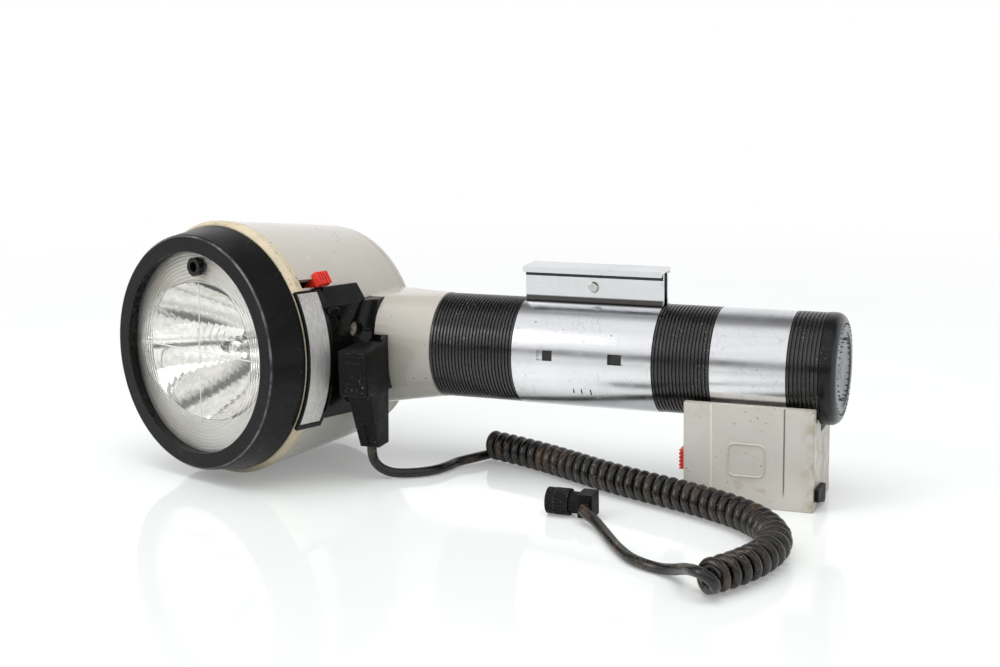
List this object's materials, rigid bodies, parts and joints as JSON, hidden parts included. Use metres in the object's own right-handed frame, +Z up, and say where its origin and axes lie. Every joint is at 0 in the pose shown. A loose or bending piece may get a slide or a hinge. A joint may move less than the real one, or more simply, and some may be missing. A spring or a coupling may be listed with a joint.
{
  "type": "camera flash unit",
  "caption": "Handle-mount camera flash lying on its side: round lens head on a gripped metal handle with a clip-on battery pack and a curly sync cord.",
  "frame": {"origin": "centre of the underside of the flash without its cord, on the surface it lies on", "axes": "+X along the handle from the head to the end cap, +Z up, the lens looks mostly along -Y"},
  "size_m": [0.3138, 0.1727, 0.1103],
  "materials": {
    "grey_plastic": "glossy moulded plastic, aged",
    "rim_plastic": "ivory moulded plastic, yellowed",
    "black_plastic": "glossy black moulded plastic",
    "bezel_black": "satin black paint with fine wear",
    "lens": "clear ridged lens",
    "bowl": "bright anodised reflector",
    "tube_glass": "clear flash tube glass",
    "copper": "bare copper wire",
    "ceramic": "white ceramic",
    "board": "green circuit board",
    "sensor_cell": "dark photocell",
    "label_metal": "brushed bare label",
    "bright_metal": "satin bright metal",
    "steel": "plated steel",
    "rubber": "ribbed black rubber",
    "red_plastic": "red moulded plastic",
    "pack_plastic": "light warm-grey moulded plastic, stained",
    "cell_sleeve": "printed cell sleeve, left bare",
    "capacitor_sleeve": "shrunk plastic sleeve",
    "lamp": "amber lamp lens",
    "cord": "worn black cord",
    "plug_rubber": "moulded black rubber",
    "gold": "worn gold plating",
    "cream": "cream moulded insulator"
  },
  "bodies": {
    "flash": {"head_housing": "grey_plastic", "housing_rim": "rim_plastic", "bezel": "bezel_black", "front_lens": "lens", "reflector": "bowl", "flash_tube": "tube_glass", "trigger_bands": "copper", "tube_base": "ceramic", "tube_socket": "black_plastic", "sensor_tube": "black_plastic", "photocell": "sensor_cell", "rear_cover": "grey_plastic", "cover_screws": "steel", "circuit_board": "board", "transformer": "copper", "trigger_coil": "copper", "quench_tube": "tube_glass", "calculator_plate": "black_plastic", "dial_pivot": "steel", "ready_lamp": "lamp", "control_panel": "black_plastic", "label_plate": "label_metal", "switch_body": "black_plastic", "button_contact": "gold", "accessory_jack": "cream", "sync_socket": "black_plastic", "handle_tube": "bright_metal", "grip_1": "rubber", "grip_2": "rubber", "grip_3": "rubber", "clamp_band": "bright_metal", "clamp_screw": "steel", "clamp_nut": "steel", "rear_band": "bright_metal", "end_cap": "rubber", "main_capacitor": "capacitor_sleeve", "capacitor_rings": "rubber", "contact_block": "black_plastic", "pack_rail": "black_plastic", "sync_plug": "plug_rubber", "plug_blades": "gold", "cord_lead": "cord", "cord_curls": "cord", "cord_tail": "cord", "tip_body": "plug_rubber", "tip_ring": "black_plastic", "tip_contact": "gold"},
    "switch": {"power_switch": "red_plastic"},
    "button": {"test_button": "black_plastic"},
    "dial": {"calculator_dial": "bright_metal"},
    "battery": {"pack_front_shell": "pack_plastic", "pack_rear_shell": "pack_plastic", "pack_foot": "rubber", "battery_cells": "cell_sleeve", "pack_contacts": "gold", "release_leaf": "steel"},
    "release": {"release_button": "red_plastic"}
  },
  "joints": [
    {"name": "power_slide", "type": "slide", "parent": "flash", "child": "switch", "axis": [-0.3169, -0.9471, 0.0506], "range_m": [0, 0.007]},
    {"name": "test_press", "type": "slide", "parent": "flash", "child": "button", "axis": [-0.9483, 0.3173, 0], "range_m": [0, 0.001], "stiffness_N_per_m": 300, "springref_m": -0.001},
    {"name": "dial_turn", "type": "hinge", "parent": "flash", "child": "dial", "pos_m": [-0.07931, 0.04677, 0.05131], "axis": [-0.3169, -0.9471, 0.0506], "continuous": true},
    {"name": "battery_slide", "type": "slide", "parent": "flash", "child": "battery", "axis": [1, 0, 0], "range_m": [0, 0.04]},
    {"name": "release_press", "type": "slide", "parent": "battery", "child": "release", "axis": [1, 0, 0], "range_m": [0, 0.002], "stiffness_N_per_m": 300, "springref_m": -0.001}
  ]
}
